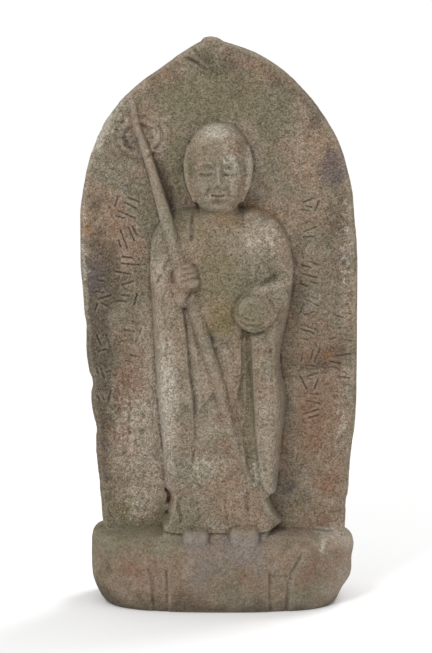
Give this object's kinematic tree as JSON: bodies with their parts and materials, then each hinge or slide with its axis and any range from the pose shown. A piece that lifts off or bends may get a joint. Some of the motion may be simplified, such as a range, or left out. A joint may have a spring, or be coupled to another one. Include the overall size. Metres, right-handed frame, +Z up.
{
  "type": "carved stone buddhist stele",
  "caption": "Boat-shaped stone stele with a standing monk figure in relief holding a ringed staff and a jewel, over a rounded lotus base carved from the same block.",
  "frame": {"origin": "middle of the flat underside, under the middle of the whole block", "axes": "+Z up along the stele's height, -Y towards the viewer who faces the figure, +X to that viewer's right"},
  "size_m": [0.3224, 0.1812, 0.664],
  "materials": {
    "weathered_stone": "weathered brown-grey carved stone with moss stain and pale lichen"
  },
  "bodies": {
    "root": {"stone_jizo_stele": "weathered_stone"}
  },
  "joints": []
}
